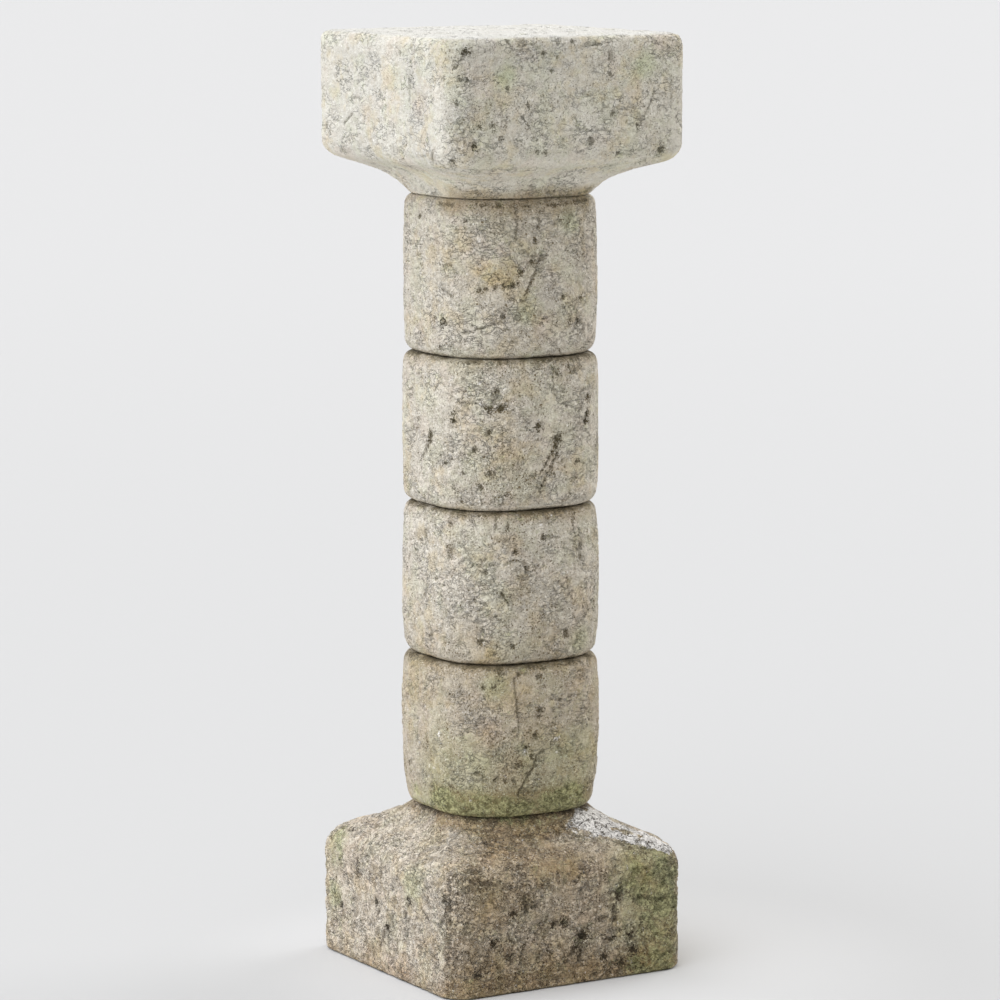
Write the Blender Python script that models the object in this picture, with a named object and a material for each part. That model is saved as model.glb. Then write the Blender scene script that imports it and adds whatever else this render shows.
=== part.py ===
"""A stone column, built dry from six carved blocks.

A square base block with a sloping top carries four shaft drums, rounded squares in plan, and a square
capital that slopes in below to the shaft. Every stone is worn round at its edges and rests on the one
below it by its own weight. Metres, +Z up, with the origin under the middle of the base.
"""

import math

import bmesh
import bpy

# The whole column
COLUMN_HEIGHT = 2.0
JOINT_GAP = 0.0003  # the stones lie dry on each other

# The shaft, bottom drum first
DRUM_HEIGHTS = (0.328, 0.327, 0.321, 0.335)
DRUM_WIDTHS = (0.388, 0.386, 0.384, 0.379)
DRUM_CORNER = 0.148  # radius of a drum's upright corners, seen from above
DRUM_TOP_ARRIS = 0.019
DRUM_BED_ARRISES = (0.014, 0.026, 0.026, 0.026)
DRUM_SWELLS = (0.004, 0.007, 0.004, 0.004)  # how far a drum's sides fall in towards its beds
FOOT_WEAR = 0.011  # how much more the lowest drum falls in at its foot
FOOT_WEAR_HEIGHT = 0.17
DRUM_COURSES = 6  # rings of faces up a drum's side

# The base block
BASE_WIDTH = 0.586
BASE_HEIGHT = 0.347
BASE_CORNER = 0.052
BASE_UNDER_ARRIS = 0.006
BASE_SHOULDER = 0.066
BASE_SLOPE = 24.5  # degrees from level
BASE_COVE = 0.14
BASE_NECK_WIDTH = 0.332
BASE_NECK_LEAN = 34.0  # degrees from upright, where the cove meets the lowest drum

# The capital, whose top is its flat side
CAPITAL_WIDTH = 0.584
CAPITAL_CORNER = 0.050
CAPITAL_TOP_ARRIS = 0.017
CAPITAL_SHOULDER = 0.042
CAPITAL_SLOPE = 21.0
CAPITAL_COVE = 0.10
CAPITAL_NECK_WIDTH = 0.352
CAPITAL_NECK_LEAN = 20.0

CORNER_STEPS = 9  # faces round one upright corner
ARRIS_STEPS = 4
SHOULDER_STEPS = 6
COVE_STEPS = 6
SIDE_STEPS = 4
HIP_SHARPNESS = 3.0  # how long the hips of a block stay as tight as its corners


def clear_scene():
    """Empty the file of what a new Blender scene starts with."""
    for old in list(bpy.data.objects):
        bpy.data.objects.remove(old, do_unlink=True)


def stone(name, colour, roughness):
    """A plain stone material."""
    material = bpy.data.materials.new(name)
    material.use_nodes = True
    shader = material.node_tree.nodes["Principled BSDF"]
    shader.inputs["Base Color"].default_value = (*colour, 1.0)
    shader.inputs["Roughness"].default_value = roughness
    shader.inputs["Metallic"].default_value = 0.0
    material.diffuse_color = (*colour, 1.0)
    return material


def finish(mesh_under_work, name, material, collection):
    """Turn a finished bmesh into a smooth-shaded object of its own."""
    bmesh.ops.recalc_face_normals(mesh_under_work, faces=mesh_under_work.faces)
    mesh = bpy.data.meshes.new(name)
    mesh_under_work.to_mesh(mesh)
    mesh_under_work.free()
    mesh.materials.append(material)
    mesh.shade_smooth()
    mesh.set_sharp_from_angle(angle=math.radians(40.0))
    piece = bpy.data.objects.new(name, mesh)
    collection.objects.link(piece)
    return piece


def level_edges(work, height):
    """The edges that lie at one height."""
    near = 1e-5
    return [edge for edge in work.edges if all(abs(v.co.z - height) < near for v in edge.verts)]


def upright_edges(work):
    """The edges that run straight up."""
    return [edge for edge in work.edges if abs(edge.verts[0].co.z - edge.verts[1].co.z) > 0.1]


def make_drum(name, foot, height, width, bed_arris, swell, foot_wear, material, collection):
    """One drum: a block with big round corners, worn round at both beds and a little swollen."""
    work = bmesh.new()
    bmesh.ops.create_cube(work, size=1.0)
    bmesh.ops.scale(work, vec=(width, width, height - JOINT_GAP), verts=work.verts)
    bmesh.ops.translate(work, vec=(0.0, 0.0, (height - JOINT_GAP) / 2), verts=work.verts)
    edges = upright_edges(work)
    bmesh.ops.bevel(work, geom=edges, offset=DRUM_CORNER, segments=CORNER_STEPS, profile=0.5, affect="EDGES")
    top = height - JOINT_GAP
    for bed, arris in ((0.0, bed_arris), (top, DRUM_TOP_ARRIS)):
        edges = level_edges(work, bed)
        bmesh.ops.bevel(work, geom=edges, offset=arris, segments=ARRIS_STEPS, profile=0.5, affect="EDGES")
    lower = bed_arris
    upper = top - DRUM_TOP_ARRIS
    for course in range(1, DRUM_COURSES):
        cut = lower + (upper - lower) * course / DRUM_COURSES
        everything = work.verts[:] + work.edges[:] + work.faces[:]
        bmesh.ops.bisect_plane(work, geom=everything, plane_co=(0.0, 0.0, cut), plane_no=(0.0, 0.0, 1.0))
    for vert in work.verts:
        from_middle = abs(2.0 * vert.co.z / top - 1.0)
        fall = swell * from_middle**3
        fall += foot_wear * max(0.0, 1.0 - vert.co.z / FOOT_WEAR_HEIGHT) ** 2
        taper = 1.0 - fall / (width / 2)
        vert.co.x *= taper
        vert.co.y *= taper
        vert.co.z += foot
    return finish(work, name, material, collection)


def arc(centre_x, centre_z, radius, start, end, steps):
    """Points of an arc, by the angle of the surface there from level, in degrees."""
    points = []
    for step in range(steps + 1):
        turn = math.radians(start + (end - start) * step / steps)
        points.append((centre_x + radius * math.sin(turn), centre_z + radius * math.cos(turn)))
    return points


def block_outline(half_width, height, under_arris, shoulder, slope, cove, neck, neck_lean):
    """The outline of a block from its flat side to its neck: (half width, height) points."""
    steep = 90.0 - neck_lean
    cove_x = neck + cove * math.sin(math.radians(steep))
    cove_z = height + cove * math.cos(math.radians(steep))
    hollow = arc(cove_x, cove_z, -cove, slope, steep, COVE_STEPS)
    shoulder_x = half_width - shoulder
    edge_of_slope = shoulder_x + shoulder * math.sin(math.radians(slope))
    run = edge_of_slope - hollow[0][0]
    shoulder_z = hollow[0][1] - run * math.tan(math.radians(slope)) - shoulder * math.cos(math.radians(slope))
    rounded = arc(shoulder_x, shoulder_z, shoulder, 90.0, slope, SHOULDER_STEPS)
    under = arc(half_width - under_arris, under_arris, under_arris, 180.0, 90.0, 2)
    side = []
    for step in range(1, SIDE_STEPS):
        side.append((half_width, under_arris + (shoulder_z - under_arris) * step / SIDE_STEPS))
    return under + side + rounded + hollow


def rounded_square(work, half_width, corner, height):
    """A level ring of vertices and edges: a square with round corners."""
    middle = half_width - corner
    verts = []
    for quarter in range(4):
        for step in range(CORNER_STEPS + 1):
            turn = math.radians(90.0 * (quarter + step / CORNER_STEPS))
            quarter_turn = math.radians(90.0 * quarter + 45.0)
            centre_x = middle * math.copysign(1.0, math.cos(quarter_turn))
            centre_y = middle * math.copysign(1.0, math.sin(quarter_turn))
            place = (centre_x + corner * math.cos(turn), centre_y + corner * math.sin(turn), height)
            verts.append(work.verts.new(place))
    return [work.edges.new((verts[i - 1], verts[i])) for i in range(len(verts))]


def make_block(name, outline, corner, neck_corner, flat_side, direction, material, collection):
    """A square block lofted ring by ring, from its square flat side to its rounder neck."""
    work = bmesh.new()
    widest = max(half for half, rise in outline)
    neck = outline[-1][0]
    rings = []
    for half, rise in outline:
        way_in = max(0.0, (widest - half) / (widest - neck))
        ring_corner = corner + (neck_corner - corner) * way_in**HIP_SHARPNESS
        rings.append(rounded_square(work, half, ring_corner, flat_side + direction * rise))
    for ring, next_ring in zip(rings, rings[1:]):
        bmesh.ops.bridge_loops(work, edges=ring + next_ring)
    bmesh.ops.edgeloop_fill(work, edges=rings[0])
    bmesh.ops.edgeloop_fill(work, edges=rings[-1])
    return finish(work, name, material, collection)


def make_base(material, collection):
    """The base block, standing on its flat side."""
    neck = BASE_NECK_WIDTH / 2
    outline = block_outline(
        BASE_WIDTH / 2,
        BASE_HEIGHT,
        BASE_UNDER_ARRIS,
        BASE_SHOULDER,
        BASE_SLOPE,
        BASE_COVE,
        neck,
        BASE_NECK_LEAN,
    )
    neck_corner = DRUM_CORNER - (DRUM_WIDTHS[0] / 2 - neck)
    return make_block("base_block", outline, BASE_CORNER, neck_corner, 0.0, 1.0, material, collection)


def make_capital(neck_height, material, collection):
    """The capital, the base's shape turned over, with a flat top and a deeper cove."""
    neck = CAPITAL_NECK_WIDTH / 2
    outline = block_outline(
        CAPITAL_WIDTH / 2,
        COLUMN_HEIGHT - neck_height,
        CAPITAL_TOP_ARRIS,
        CAPITAL_SHOULDER,
        CAPITAL_SLOPE,
        CAPITAL_COVE,
        neck,
        CAPITAL_NECK_LEAN,
    )
    neck_corner = DRUM_CORNER - (DRUM_WIDTHS[-1] / 2 - neck)
    return make_block(
        "capital_block", outline, CAPITAL_CORNER, neck_corner, COLUMN_HEIGHT, -1.0, material, collection
    )


def build():
    """Stack the six stones."""
    clear_scene()
    collection = bpy.data.collections.new("stone_column")
    bpy.context.scene.collection.children.link(collection)
    pale_stone = stone("pale_limestone", (0.56, 0.52, 0.44), 0.9)
    weathered_stone = stone("weathered_limestone", (0.40, 0.35, 0.27), 0.92)
    make_base(weathered_stone, collection)
    foot = BASE_HEIGHT + JOINT_GAP
    drums = zip(DRUM_HEIGHTS, DRUM_WIDTHS, DRUM_BED_ARRISES, DRUM_SWELLS)
    for number, (height, width, arris, swell) in enumerate(drums, start=1):
        wear = FOOT_WEAR if number == 1 else 0.0
        make_drum(f"shaft_drum_{number}", foot, height, width, arris, swell, wear, pale_stone, collection)
        foot += height
    make_capital(foot, pale_stone, collection)


build()
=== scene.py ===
"""A column of six weathered limestone blocks that lie dry on one another, on a pale studio floor."""

import math

import bpy
import numpy as np
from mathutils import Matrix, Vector, noise


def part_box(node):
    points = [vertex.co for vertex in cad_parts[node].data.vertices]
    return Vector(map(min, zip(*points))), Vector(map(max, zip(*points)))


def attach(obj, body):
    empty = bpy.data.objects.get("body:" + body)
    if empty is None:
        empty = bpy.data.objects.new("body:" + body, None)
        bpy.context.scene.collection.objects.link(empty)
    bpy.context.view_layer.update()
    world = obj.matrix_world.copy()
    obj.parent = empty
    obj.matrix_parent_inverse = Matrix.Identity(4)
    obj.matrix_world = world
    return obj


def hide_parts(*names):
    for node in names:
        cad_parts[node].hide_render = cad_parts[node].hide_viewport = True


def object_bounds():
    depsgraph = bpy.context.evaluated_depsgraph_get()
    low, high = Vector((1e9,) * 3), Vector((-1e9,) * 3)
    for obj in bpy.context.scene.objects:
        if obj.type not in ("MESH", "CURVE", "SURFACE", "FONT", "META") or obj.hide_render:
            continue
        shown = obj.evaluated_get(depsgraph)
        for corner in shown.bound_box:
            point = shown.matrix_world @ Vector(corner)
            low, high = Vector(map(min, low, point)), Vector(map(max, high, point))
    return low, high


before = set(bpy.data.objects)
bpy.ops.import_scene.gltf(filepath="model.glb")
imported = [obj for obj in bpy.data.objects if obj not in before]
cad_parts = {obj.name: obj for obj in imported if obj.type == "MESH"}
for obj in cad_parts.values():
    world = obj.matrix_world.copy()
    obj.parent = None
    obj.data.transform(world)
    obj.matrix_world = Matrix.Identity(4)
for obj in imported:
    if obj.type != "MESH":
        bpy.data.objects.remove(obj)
cad_low, cad_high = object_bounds()


# The camera, a long lens a little above the foot of the capital, turned to see the front arris and
# the two faces that meet there. It comes first because the marks on the stones are placed by where
# they are seen from here.

PICTURE_SIDE = 1000  # pixels, both ways
SENSOR = 36.0  # millimetres
PIXELS_PER_FOCAL = 4444.0  # the length of the lens, in pixels of the picture
CAMERA_PLACE = (-4.8342, -8.0628, 2.3743)
CAMERA_TILT = 81.687  # degrees up from looking straight down
CAMERA_TURN = -30.944
FARTHEST_SEEN = 300.0

bpy.ops.object.camera_add(
    location=CAMERA_PLACE,
    rotation=(math.radians(CAMERA_TILT), 0.0, math.radians(CAMERA_TURN)),
)
camera = bpy.context.object
camera.name = "camera"
camera.data.sensor_width = SENSOR
camera.data.lens = PIXELS_PER_FOCAL * SENSOR / PICTURE_SIDE
camera.data.clip_end = FARTHEST_SEEN
bpy.context.scene.camera = camera
bpy.context.view_layer.update()


# The studio: a plain pale floor that runs far back, a broad soft key from the left, a lower light
# from behind on the right, and an even glow from all round. Where the base's shadow falls, the paper
# is painted lighter: a painted pool of light that lifts that shadow.

class Flow:
    """A socket of a node tree. A sum written with it adds the nodes that work it out."""

    def __init__(self, socket):
        self.socket = socket

    def node(self, kind, settings=None, inputs=None, output=0):
        """Add a node beside this one: its settings first, then its sockets, filled or wired."""
        tree = self.socket.id_data
        made = tree.nodes.new(kind)
        for name, value in (settings or {}).items():
            setattr(made, name, value)
        for key, value in (inputs or {}).items():
            if isinstance(value, Flow):
                tree.links.new(value.socket, made.inputs[key])
            else:
                made.inputs[key].default_value = value
        return Flow(made.outputs[output])

    def maths(self, operation, first, second=0.0):
        return self.node("ShaderNodeMath", {"operation": operation}, {0: first, 1: second})

    def __add__(self, other):
        return self.maths("ADD", self, other)

    def __radd__(self, other):
        return self.maths("ADD", other, self)

    def __sub__(self, other):
        return self.maths("SUBTRACT", self, other)

    def __rsub__(self, other):
        return self.maths("SUBTRACT", other, self)

    def __mul__(self, other):
        return self.maths("MULTIPLY", self, other)

    def __rmul__(self, other):
        return self.maths("MULTIPLY", other, self)

    def __truediv__(self, other):
        return self.maths("DIVIDE", self, other)

    def __pow__(self, other):
        return self.maths("POWER", self, other)

    def __neg__(self):
        return self.maths("MULTIPLY", self, -1.0)

    def __abs__(self):
        return self.maths("ABSOLUTE", self)

    def least(self, other):
        return self.maths("MINIMUM", self, other)

    def most(self, other):
        return self.maths("MAXIMUM", self, other)

    def rise(self, low, high):
        """0 below low and 1 above high, with a soft rise between them."""
        ends = {"Value": self, "From Min": low, "From Max": high}
        return self.node("ShaderNodeMapRange", {"interpolation_type": "SMOOTHSTEP"}, ends)

    def fall(self, low, high):
        """1 below low and 0 above high."""
        return 1.0 - self.rise(low, high)

    def noise(self, scale, detail=2.0, roughness=0.5, output=0):
        ends = {"Vector": self, "Scale": scale, "Detail": detail, "Roughness": roughness}
        return self.node("ShaderNodeTexNoise", None, ends, output)

    def cells(self, scale, feature="F1", output=0):
        ends = {"Vector": self, "Scale": scale}
        return self.node("ShaderNodeTexVoronoi", {"feature": feature}, ends, output)

    def stretched(self, across, along, up):
        ends = {0: self, 1: (across, along, up)}
        return self.node("ShaderNodeVectorMath", {"operation": "MULTIPLY"}, ends)

    def wandering(self, scale, reach):
        """This place, moved by up to a reach either way."""
        swing = self.noise(scale, output=1)
        level = self.node("ShaderNodeVectorMath", {"operation": "SUBTRACT"}, {0: swing, 1: (0.5,) * 3})
        step = self.node("ShaderNodeVectorMath", {"operation": "SCALE"}, {0: level, "Scale": 2.0 * reach})
        return self.node("ShaderNodeVectorMath", {"operation": "ADD"}, {0: self, 1: step})

    def paint(self, under, over, way="MIX"):
        """Colour over another colour, where this mask says."""
        settings = {"data_type": "RGBA", "blend_type": way}
        return self.node("ShaderNodeMix", settings, {0: self, 6: under, 7: over}, 2)


FLOOR_SIDE = 400.0
PAPER_NEAR = (0.503, 0.50, 0.488, 1.0)
PAPER_FAR = (0.525, 0.521, 0.509, 1.0)
FAR_BACK = 18.0  # metres behind the column where the paper has its far colour
AWAY_FROM_CAMERA = (0.514, 0.858, 0.0)
# A painted pool of light: the paper takes this lighter colour where the base's shadow falls, to lift that
# shadow
PAPER_PAINTED_LIGHT_BY_THE_BASE = (0.60, 0.596, 0.583, 1.0)
LEE_OF_THE_BASE = (0.08, -0.15, 0.0)  # the middle of the paper that the base darkens most
LEE_INNER, LEE_OUTER = 0.3, 0.9
KEY_COLOUR = (0.965, 1.0, 1.095)
RIM_COLOUR = (1.0, 1.0, 1.04)
GLOW_COLOUR = (1.0, 0.98, 0.935, 1.0)
GLOW_STRENGTH = 0.615

bpy.ops.mesh.primitive_plane_add(size=FLOOR_SIDE)
floor = bpy.context.object
floor.name = "studio_floor"
paper = bpy.data.materials.new("floor paper")
paper.use_nodes = True
paper_shader = paper.node_tree.nodes["Principled BSDF"]
paper_shader.inputs["Roughness"].default_value = 0.95
paper_shader.inputs["Specular IOR Level"].default_value = 0.1
spot = Flow(paper.node_tree.nodes.new("ShaderNodeTexCoord").outputs["Object"])
back = spot.node("ShaderNodeVectorMath", {"operation": "DOT_PRODUCT"}, {0: spot, 1: AWAY_FROM_CAMERA}, 1)
lee_shade = spot.node("ShaderNodeVectorMath", {"operation": "DISTANCE"}, {0: spot, 1: LEE_OF_THE_BASE}, 1)
paper_tone = back.rise(0.0, FAR_BACK).paint(PAPER_NEAR, PAPER_FAR)
# Painted light: lighter paper in the base's shadow, fading out between the inner and the outer reach
paper_tone = lee_shade.fall(LEE_INNER, LEE_OUTER).paint(paper_tone, PAPER_PAINTED_LIGHT_BY_THE_BASE)
paper.node_tree.links.new(paper_tone.socket, paper_shader.inputs["Base Color"])
floor.data.materials.append(paper)


def sun(name, towards, height, strength, spread, colour):
    """A soft light from far off: the turn and the height it comes from and its width, in degrees."""
    bpy.ops.object.light_add(type="SUN")
    light = bpy.context.object
    light.name = name
    light.rotation_euler = (math.radians(90.0 - height), 0.0, math.radians(towards))
    light.data.energy = strength
    light.data.angle = math.radians(spread)
    light.data.color = colour


sun("key light", towards=-103.0, height=40.0, strength=3.6, spread=108.0, colour=KEY_COLOUR)
sun("rim light", towards=98.0, height=24.0, strength=1.7, spread=50.0, colour=RIM_COLOUR)

glow = bpy.data.worlds.new("studio glow")
bpy.context.scene.world = glow
glow.use_nodes = True
glow.node_tree.nodes["Background"].inputs["Color"].default_value = GLOW_COLOUR
glow.node_tree.nodes["Background"].inputs["Strength"].default_value = GLOW_STRENGTH
bpy.context.scene.view_settings.view_transform = "Standard"


# The base block: a square limestone block cut with a sloping top and a cove up to the shaft, worn
# round at every arris. It stands on its flat underside, and damp from the ground has browned it
# and grown moss at two of its corners. Its face turned away from the key light is painted browner
# and more speckled, a painted shade, and a dark band painted along its foot is painted shade under
# its bottom arris.

BASE_GRAIN = 0.0029  # metres between the points of the finished skin
SMOOTHING_ROUNDS = 26
BASE_MOST_TRIANGLES = 186000


def seen_at(across, down):
    """The line of sight through one pixel of the photograph."""
    turn = camera.matrix_world.to_3x3()
    middle = PICTURE_SIDE / 2
    aim = Vector(((across - middle) / PIXELS_PER_FOCAL, (middle - down) / PIXELS_PER_FOCAL, -1.0))
    return camera.matrix_world.translation, (turn @ aim).normalized()


def use_modifier(piece, kind, **settings):
    """Add a modifier with its settings and apply it."""
    modifier = piece.modifiers.new(kind.title(), kind)
    for name, value in settings.items():
        setattr(modifier, name, value)
    bpy.context.view_layer.objects.active = piece
    bpy.ops.object.modifier_apply(modifier=modifier.name)


SAME_POINT = 0.00001  # metres within which two points are one


def rough_out(node, name, grain):
    """A block of its own from a solid: one closed skin of small even faces, its facets rubbed off."""
    bpy.ops.object.select_all(action="DESELECT")
    block = bpy.data.objects.new(name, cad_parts[node].data.copy())
    bpy.context.scene.collection.objects.link(block)
    bpy.context.view_layer.objects.active = block
    block.select_set(True)
    bpy.ops.object.mode_set(mode="EDIT")
    bpy.ops.mesh.select_all(action="SELECT")
    bpy.ops.mesh.remove_doubles(threshold=SAME_POINT)
    bpy.ops.object.mode_set(mode="OBJECT")
    use_modifier(block, "REMESH", mode="VOXEL", voxel_size=grain, use_smooth_shade=True)
    use_modifier(block, "SMOOTH", factor=0.5, iterations=SMOOTHING_ROUNDS)
    return block


def distance_from(places, line):
    """How far each place is from a line of points."""
    nearest = np.full(len(places), 10.0)
    for start, end in zip(line, line[1:]):
        run = end - start
        share = np.clip((places - start) @ run / max(run @ run, 1e-12), 0.0, 1.0)
        off = places - start - share[:, None] * run
        nearest = np.minimum(nearest, np.sqrt((off * off).sum(axis=1)))
    return nearest


def places_on(block):
    """Where each point of a block is."""
    flat = np.empty(3 * len(block.data.vertices), dtype=np.float32)
    block.data.vertices.foreach_get("co", flat)
    return flat.reshape(-1, 3).astype(float)


PIXEL_ON_STONE = 1.0 / 468.0  # metres that a pixel of the photograph covers on the column
HALF_A_MARK = 0.48  # of its width
MARK_WANDER = 0.0022  # metres that the edge of a mark strays
MARK_WANDER_SCALE = 95.0
MARK_SEED = 11
noise.seed_set(MARK_SEED)  # so that the marks stray alike in every run


def touched(block, marks):
    """For each mark: the points of a block near it, how far into it they lie, and its own facts.

    A mark is its width in pixels, some facts, and the points it runs through. At its middle a point
    lies in it by 1, at its edge by a half, and a whole width out by nothing.
    """
    places = places_on(block)
    for width, *facts in marks:
        pixels = [fact for fact in facts if isinstance(fact, tuple)]
        found = [block.ray_cast(*seen_at(*pixel)) for pixel in pixels]
        line = [np.array(spot) for hit, spot, facing, face in found if hit]
        if not line:
            continue
        line.append(line[-1])
        reach = HALF_A_MARK * width * PIXEL_ON_STONE
        centre = sum(line) / len(line)
        span = max(np.linalg.norm(spot - centre) for spot in line) + 2.5 * reach
        near = np.flatnonzero(np.abs(places - centre).max(axis=1) < span)
        if not len(near):
            continue
        sway = [noise.noise_vector(Vector(places[i]) * MARK_WANDER_SCALE) for i in near]
        wander = min(MARK_WANDER, 0.5 * reach)
        off = distance_from(places[near] + wander * np.array(sway), line)
        yield near, np.clip(1.0 - off / (2.0 * reach), 0.0, 1.0), facts


def keep_on(block, name, amounts):
    """Keep a number for each point of a block under a name."""
    layer = block.data.attributes.new(name, "FLOAT", "POINT")
    layer.data.foreach_set("value", amounts.astype(np.float32))


def soft_step(amounts, low, high):
    """0 below low and 1 above high, with a soft rise between them."""
    share = np.clip((amounts - low) / (high - low), 0.0, 1.0)
    return share * share * (3.0 - 2.0 * share)


THREAD = 0.6  # how dark a long mark is beside a pit
STAINS = ("ochre", "rose", "green", "grey", "moss", "bleach_and_glint", "umber_and_shade", "folded", "clean", "specked")


def note_marks(block, cuts, stains):
    """Keep on a block how deep its marks are cut, how dark they are, and each of its stains."""
    cut, within, soot = np.zeros((3, len(block.data.vertices)))
    for near, inside, (depth, dark, *spots) in touched(block, cuts):
        cut[near] += depth / 1000.0 * soft_step(inside, 0.45, 0.9)
        closer = inside > within[near]
        within[near[closer]] = inside[closer]
        soot[near[closer]] = dark if len(spots) == 1 else THREAD * dark
    keep_on(block, "cut", cut)
    keep_on(block, "within", within)
    keep_on(block, "soot", soot)
    for stain in STAINS:
        amount = np.zeros(len(cut))
        for near, inside, (strength, *spots) in touched(block, stains.get(stain, ())):
            amount[near] += strength * soft_step(inside, 0.0, 0.8)
        keep_on(block, stain, amount)


SEAM_REACH = 0.014  # metres that dirt creeps out of a joint, and that painted shade reaches up the foot of the base
LEDGE_REACH = 0.030  # and over the worn ledge below it
CUT_BACK = -0.0001  # how far out the skin of the base and the capital comes: they are only cut back
LUMPS_A_METRE = 8.0
PLAIN_PLACES_A_METRE = 23.0
FOLDS_A_METRE = 30.0
DENTS_A_METRE = 38.0
PITS_A_METRE = 52.0
FINE_PITS_A_METRE = 135.0
WORMS_A_METRE = 70.0
GRAINS_A_METRE = 120.0
LEVEL_FROM, LEVEL_TO = 0.95, 0.985  # how level a face is where it turns into a bed


def weather(
    block, beds, joints, outmost, plainness, sink, lumps, dents, folds, grain, pits, worms
):
    """Cut a stone's relief in from its smooth form, and keep where it is hollow. Depths in metres.

    The beds that lie on other stones stay flat. A joint is its height, how dirty it is, and how far
    the dirt reaches; at the foot of the base its dark is painted shade. Outmost is how far the skin
    may stand out, and sink how far all of it goes in.
    """
    tree = bpy.data.node_groups.new(f"{block.name} weathering", "GeometryNodeTree")
    tree.interface.new_socket("Geometry", in_out="INPUT", socket_type="NodeSocketGeometry")
    tree.interface.new_socket("Geometry", in_out="OUTPUT", socket_type="NodeSocketGeometry")
    skin = Flow(tree.nodes.new("NodeGroupInput").outputs[0])
    place = skin.node("GeometryNodeInputPosition")
    facing = skin.node("GeometryNodeInputNormal")
    upward = facing.node("ShaderNodeSeparateXYZ", None, {0: facing}, 2)
    cut = skin.node("GeometryNodeInputNamedAttribute", {"data_type": "FLOAT"}, {"Name": "cut"})
    folded = skin.node("GeometryNodeInputNamedAttribute", {"data_type": "FLOAT"}, {"Name": "folded"})

    swaying = place.wandering(26.0, 0.006)
    plain = plainness * swaying.noise(PLAIN_PLACES_A_METRE, 1.0).rise(0.56, 0.64)
    rough = 1.0 - 0.75 * plain
    unevenness = lumps * (place.noise(LUMPS_A_METRE, 2.0) - 0.5)
    flattened = swaying.stretched(1.0, 1.0, 2.4)
    creased = 1.0 - 2.0 * abs(flattened.noise(FOLDS_A_METRE, 3.0, 0.55) - 0.5)
    fold_zone = place.noise(11.0, 1.0).rise(0.5, 0.6).most(folded)
    fold = folds * fold_zone * (creased ** 4.0 - 0.3)
    roughness = grain * rough * (place.noise(GRAINS_A_METRE, 3.0, 0.6) - 0.5)
    winding = abs(swaying.noise(WORMS_A_METRE, 2.0) - 0.5).fall(0.0, 0.045)
    worm_zone = place.noise(17.0, 2.0).rise(0.42, 0.56)
    worm = worms * rough * worm_zone * winding

    def pitting(scale, least, reach):
        """1 in round pits of many sizes: those of the least size and under aren't cut."""
        away = swaying.cells(scale)
        size = (swaying.cells(scale, output=1) - least) * reach
        return ((size - away) / 0.1).rise(0.0, 1.0)

    clusters = place.noise(14.0, 2.0).rise(0.4, 0.56)
    pit = pits * rough * (0.25 + 0.75 * clusters) * pitting(PITS_A_METRE, 0.5, 0.62)
    fine_pit = 0.5 * pits * rough * clusters * pitting(FINE_PITS_A_METRE, 0.3, 0.55)
    dented = swaying.noise(DENTS_A_METRE, 3.0, 0.55)
    dent = dents * rough * ((dented - 0.5) * 2.0 + 0.6 * abs(dented - 0.5))
    fine = fold + dent + roughness - worm - pit - fine_pit - cut

    rise = place.node("ShaderNodeSeparateXYZ", None, {0: place}, 2)
    tight = seam = 0.0
    for joint, dirtiness, reach in joints:
        beside = (1.0 - abs(rise - joint) / reach).most(0.0)
        tight = beside.most(tight)
        seam = (dirtiness * beside).most(seam)

    exposed = 1.0 - 0.8 * tight
    if "under" in beds:
        exposed = exposed * (-upward).fall(LEVEL_FROM, LEVEL_TO)
    if "over" in beds:
        exposed = exposed * upward.fall(LEVEL_FROM, LEVEL_TO)
    height = (unevenness + fine - sink).least(outmost) * exposed
    push = facing.node("ShaderNodeVectorMath", {"operation": "SCALE"}, {0: facing, "Scale": height})
    forward = facing.node("ShaderNodeSeparateXYZ", None, {0: facing}, 1)
    shown = {
        "hollow": (-fine).rise(0.0004, 0.0036),
        "plain": plain,
        # Painted shade: how much a point faces the side turned away from the key light, which is painted
        # browner and more speckled
        "lee_shade": (-forward).rise(0.15, 0.45),
        "seam": seam,
        # Painted light: how much a point faces down, where the stone is painted paler to stand for the light
        # that reaches it from below
        "shelter": (-upward).rise(0.25, 0.8),
    }
    for name, amount in shown.items():
        inputs = {"Geometry": skin, "Name": name, "Value": amount}
        skin = skin.node("GeometryNodeStoreNamedAttribute", {"data_type": "FLOAT"}, inputs)
    skin = skin.node("GeometryNodeSetPosition", None, {"Geometry": skin, "Offset": push})
    end = tree.nodes.new("NodeGroupOutput")
    tree.links.new(skin.socket, end.inputs[0])
    use_modifier(block, "NODES", node_group=tree)


def thin_out(block, most_triangles):
    """Take faces away where the stone is flat, down to a number of triangles, and pass no face of
    the column's own box by doing so."""
    triangles = 2 * len(block.data.polygons)
    if triangles > most_triangles:
        use_modifier(block, "DECIMATE", ratio=most_triangles / triangles)
    inside = np.clip(places_on(block), np.array(cad_low), np.array(cad_high))
    block.data.vertices.foreach_set("co", inside.astype(np.float32).ravel())
    block.data.update()
    bpy.context.view_layer.objects.active = block
    bpy.ops.object.shade_smooth()


OCHRE_TINT = (0.95, 0.83, 0.58, 1.0)  # a tint is what share of the stone's own colour is left
ROSE_TINT = (0.97, 0.88, 0.85, 1.0)
GREEN_TINT = (0.86, 0.95, 0.74, 1.0)
GREY_TINT = (0.84, 0.85, 0.88, 1.0)
BROWN_TINT = (0.61, 0.525, 0.40, 1.0)
# Painted light: the paler colour painted on faces that look down
UNDERSIDE_PAINTED_LIGHT = (0.93, 0.88, 0.76, 1.0)
# The pale patch: bleached stone, and a painted highlight where the light from behind grazes it
BLEACHED_AND_GLINT = (0.97, 0.935, 0.88, 1.0)
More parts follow.
